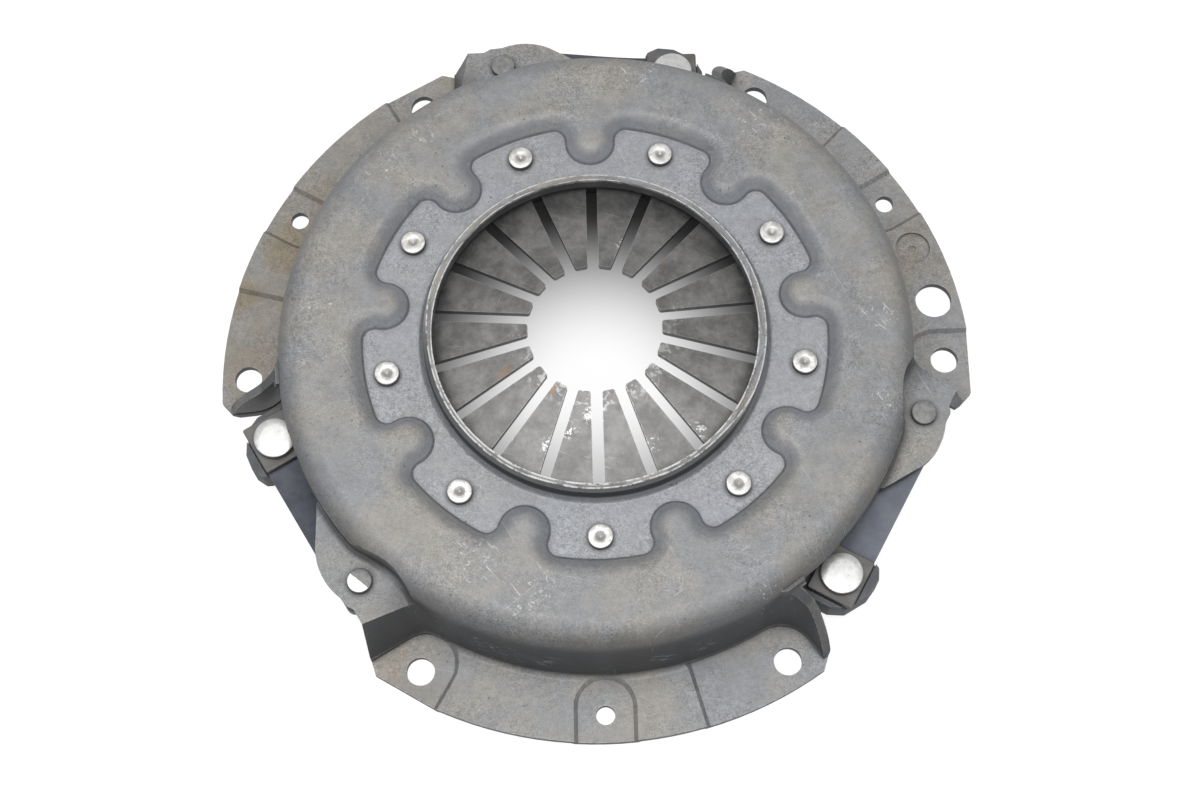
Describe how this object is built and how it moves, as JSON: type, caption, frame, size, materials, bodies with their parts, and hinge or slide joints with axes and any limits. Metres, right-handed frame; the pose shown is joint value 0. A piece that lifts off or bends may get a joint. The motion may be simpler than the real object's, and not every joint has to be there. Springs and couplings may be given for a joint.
{
  "type": "clutch pressure plate",
  "caption": "Diaphragm spring clutch cover: pressed steel cover with riveted spring fingers, drive straps and a cast pressure plate that lifts off its face.",
  "frame": {"origin": "centre of the bolt circle on the cover face that bolts to the flywheel", "axes": "+Z from the flywheel to the gearbox, X and Y across the face, with a dowel hole on -Y"},
  "size_m": [0.25, 0.2401, 0.04],
  "materials": {
    "pressed_steel": "phosphated pressed steel, satin, with scuffs",
    "fulcrum_wire": "drawn spring wire",
    "spring_steel": "heat treated spring steel, dark",
    "zinc_rivet": "zinc plated",
    "cast_iron": "cast skin, ground face",
    "bright_rivet": "bright zinc plated",
    "clamp_steel": "dark rolled steel",
    "dull_rivet": "phosphated",
    "strap_steel": "blued spring steel strip"
  },
  "bodies": {
    "cover_assembly": {"cover": "pressed_steel", "diaphragm_band": "spring_steel", "diaphragm_rivet_1": "zinc_rivet", "diaphragm_rivet_2": "zinc_rivet", "diaphragm_rivet_3": "zinc_rivet", "diaphragm_rivet_4": "zinc_rivet", "diaphragm_rivet_5": "zinc_rivet", "diaphragm_rivet_6": "zinc_rivet", "diaphragm_rivet_7": "zinc_rivet", "diaphragm_rivet_8": "zinc_rivet", "diaphragm_rivet_9": "zinc_rivet", "drive_strap_leaf_1_pack_1": "strap_steel", "drive_strap_leaf_1_pack_2": "strap_steel", "drive_strap_leaf_1_pack_3": "strap_steel", "drive_strap_leaf_2_pack_1": "strap_steel", "drive_strap_leaf_2_pack_2": "strap_steel", "drive_strap_leaf_2_pack_3": "strap_steel", "drive_strap_leaf_3_pack_1": "strap_steel", "drive_strap_leaf_3_pack_2": "strap_steel", "drive_strap_leaf_3_pack_3": "strap_steel", "ear_rivet_1": "dull_rivet", "ear_rivet_2": "dull_rivet", "ear_rivet_3": "dull_rivet", "lower_fulcrum_ring": "fulcrum_wire", "upper_fulcrum_ring": "fulcrum_wire"},
    "pressure_plate": {"clamp_plate_1": "clamp_steel", "clamp_plate_2": "clamp_steel", "clamp_plate_3": "clamp_steel", "lug_rivet_1": "bright_rivet", "lug_rivet_2": "bright_rivet", "lug_rivet_3": "bright_rivet", "pressure_plate": "cast_iron"},
    "diaphragm_finger_01": {"diaphragm_finger_01": "spring_steel"},
    "diaphragm_finger_02": {"diaphragm_finger_02": "spring_steel"},
    "diaphragm_finger_03": {"diaphragm_finger_03": "spring_steel"},
    "diaphragm_finger_04": {"diaphragm_finger_04": "spring_steel"},
    "diaphragm_finger_05": {"diaphragm_finger_05": "spring_steel"},
    "diaphragm_finger_06": {"diaphragm_finger_06": "spring_steel"},
    "diaphragm_finger_07": {"diaphragm_finger_07": "spring_steel"},
    "diaphragm_finger_08": {"diaphragm_finger_08": "spring_steel"},
    "diaphragm_finger_09": {"diaphragm_finger_09": "spring_steel"},
    "diaphragm_finger_10": {"diaphragm_finger_10": "spring_steel"},
    "diaphragm_finger_11": {"diaphragm_finger_11": "spring_steel"},
    "diaphragm_finger_12": {"diaphragm_finger_12": "spring_steel"},
    "diaphragm_finger_13": {"diaphragm_finger_13": "spring_steel"},
    "diaphragm_finger_14": {"diaphragm_finger_14": "spring_steel"},
    "diaphragm_finger_15": {"diaphragm_finger_15": "spring_steel"},
    "diaphragm_finger_16": {"diaphragm_finger_16": "spring_steel"},
    "diaphragm_finger_17": {"diaphragm_finger_17": "spring_steel"},
    "diaphragm_finger_18": {"diaphragm_finger_18": "spring_steel"}
  },
  "joints": [
    {"name": "plate_lift", "type": "slide", "parent": "cover_assembly", "child": "pressure_plate", "axis": [0, 0, 1], "range_m": [0, 0.006], "stiffness_N_per_m": 20000, "springref_m": -0.001, "deforming": ["diaphragm_band", "drive_strap_leaf_1_pack_1", "drive_strap_leaf_1_pack_2", "drive_strap_leaf_1_pack_3", "drive_strap_leaf_2_pack_1", "drive_strap_leaf_2_pack_2", "drive_strap_leaf_2_pack_3", "drive_strap_leaf_3_pack_1", "drive_strap_leaf_3_pack_2", "drive_strap_leaf_3_pack_3"]},
    {"name": "finger_01_tilt", "type": "hinge", "parent": "cover_assembly", "child": "diaphragm_finger_01", "pos_m": [0.01268, -0.07189, 0.0252], "axis": [-0.9848, -0.1736, 0], "range_deg": [0, 18.5]},
    {"name": "finger_02_tilt", "type": "hinge", "parent": "cover_assembly", "child": "diaphragm_finger_02", "pos_m": [0.0365, -0.06322, 0.0252], "axis": [-0.866, -0.5, 0], "range_deg": [0, 18.5]},
    {"name": "finger_03_tilt", "type": "hinge", "parent": "cover_assembly", "child": "diaphragm_finger_03", "pos_m": [0.05592, -0.04692, 0.0252], "axis": [-0.6428, -0.766, 0], "range_deg": [0, 18.5]},
    {"name": "finger_04_tilt", "type": "hinge", "parent": "cover_assembly", "child": "diaphragm_finger_04", "pos_m": [0.0686, -0.02497, 0.0252], "axis": [-0.342, -0.9397, 0], "range_deg": [0, 18.5]},
    {"name": "finger_05_tilt", "type": "hinge", "parent": "cover_assembly", "child": "diaphragm_finger_05", "pos_m": [0.073, 0, 0.0252], "axis": [0, -1, 0], "range_deg": [0, 18.5]},
    {"name": "finger_06_tilt", "type": "hinge", "parent": "cover_assembly", "child": "diaphragm_finger_06", "pos_m": [0.0686, 0.02497, 0.0252], "axis": [0.342, -0.9397, 0], "range_deg": [0, 18.5]},
    {"name": "finger_07_tilt", "type": "hinge", "parent": "cover_assembly", "child": "diaphragm_finger_07", "pos_m": [0.05592, 0.04692, 0.0252], "axis": [0.6428, -0.766, 0], "range_deg": [0, 18.5]},
    {"name": "finger_08_tilt", "type": "hinge", "parent": "cover_assembly", "child": "diaphragm_finger_08", "pos_m": [0.0365, 0.06322, 0.0252], "axis": [0.866, -0.5, 0], "range_deg": [0, 18.5]},
    {"name": "finger_09_tilt", "type": "hinge", "parent": "cover_assembly", "child": "diaphragm_finger_09", "pos_m": [0.01268, 0.07189, 0.0252], "axis": [0.9848, -0.1736, 0], "range_deg": [0, 18.5]},
    {"name": "finger_10_tilt", "type": "hinge", "parent": "cover_assembly", "child": "diaphragm_finger_10", "pos_m": [-0.01268, 0.07189, 0.0252], "axis": [0.9848, 0.1736, 0], "range_deg": [0, 18.5]},
    {"name": "finger_11_tilt", "type": "hinge", "parent": "cover_assembly", "child": "diaphragm_finger_11", "pos_m": [-0.0365, 0.06322, 0.0252], "axis": [0.866, 0.5, 0], "range_deg": [0, 18.5]},
    {"name": "finger_12_tilt", "type": "hinge", "parent": "cover_assembly", "child": "diaphragm_finger_12", "pos_m": [-0.05592, 0.04692, 0.0252], "axis": [0.6428, 0.766, 0], "range_deg": [0, 18.5]},
    {"name": "finger_13_tilt", "type": "hinge", "parent": "cover_assembly", "child": "diaphragm_finger_13", "pos_m": [-0.0686, 0.02497, 0.0252], "axis": [0.342, 0.9397, 0], "range_deg": [0, 18.5]},
    {"name": "finger_14_tilt", "type": "hinge", "parent": "cover_assembly", "child": "diaphragm_finger_14", "pos_m": [-0.073, 0, 0.0252], "axis": [0, 1, 0], "range_deg": [0, 18.5]},
    {"name": "finger_15_tilt", "type": "hinge", "parent": "cover_assembly", "child": "diaphragm_finger_15", "pos_m": [-0.0686, -0.02497, 0.0252], "axis": [-0.342, 0.9397, 0], "range_deg": [0, 18.5]},
    {"name": "finger_16_tilt", "type": "hinge", "parent": "cover_assembly", "child": "diaphragm_finger_16", "pos_m": [-0.05592, -0.04692, 0.0252], "axis": [-0.6428, 0.766, 0], "range_deg": [0, 18.5]},
    {"name": "finger_17_tilt", "type": "hinge", "parent": "cover_assembly", "child": "diaphragm_finger_17", "pos_m": [-0.0365, -0.06322, 0.0252], "axis": [-0.866, 0.5, 0], "range_deg": [0, 18.5]},
    {"name": "finger_18_tilt", "type": "hinge", "parent": "cover_assembly", "child": "diaphragm_finger_18", "pos_m": [-0.01268, -0.07189, 0.0252], "axis": [-0.9848, 0.1736, 0], "range_deg": [0, 18.5]}
  ],
  "couplings": [
    {"joint": "finger_01_tilt", "follows": "plate_lift", "rad_per_m": 53.35},
    {"joint": "finger_02_tilt", "follows": "plate_lift", "rad_per_m": 53.35},
    {"joint": "finger_03_tilt", "follows": "plate_lift", "rad_per_m": 53.35},
    {"joint": "finger_04_tilt", "follows": "plate_lift", "rad_per_m": 53.35},
    {"joint": "finger_05_tilt", "follows": "plate_lift", "rad_per_m": 53.35},
    {"joint": "finger_06_tilt", "follows": "plate_lift", "rad_per_m": 53.35},
    {"joint": "finger_07_tilt", "follows": "plate_lift", "rad_per_m": 53.35},
    {"joint": "finger_08_tilt", "follows": "plate_lift", "rad_per_m": 53.35},
    {"joint": "finger_09_tilt", "follows": "plate_lift", "rad_per_m": 53.35},
    {"joint": "finger_10_tilt", "follows": "plate_lift", "rad_per_m": 53.35},
    {"joint": "finger_11_tilt", "follows": "plate_lift", "rad_per_m": 53.35},
    {"joint": "finger_12_tilt", "follows": "plate_lift", "rad_per_m": 53.35},
    {"joint": "finger_13_tilt", "follows": "plate_lift", "rad_per_m": 53.35},
    {"joint": "finger_14_tilt", "follows": "plate_lift", "rad_per_m": 53.35},
    {"joint": "finger_15_tilt", "follows": "plate_lift", "rad_per_m": 53.35},
    {"joint": "finger_16_tilt", "follows": "plate_lift", "rad_per_m": 53.35},
    {"joint": "finger_17_tilt", "follows": "plate_lift", "rad_per_m": 53.35},
    {"joint": "finger_18_tilt", "follows": "plate_lift", "rad_per_m": 53.35}
  ]
}
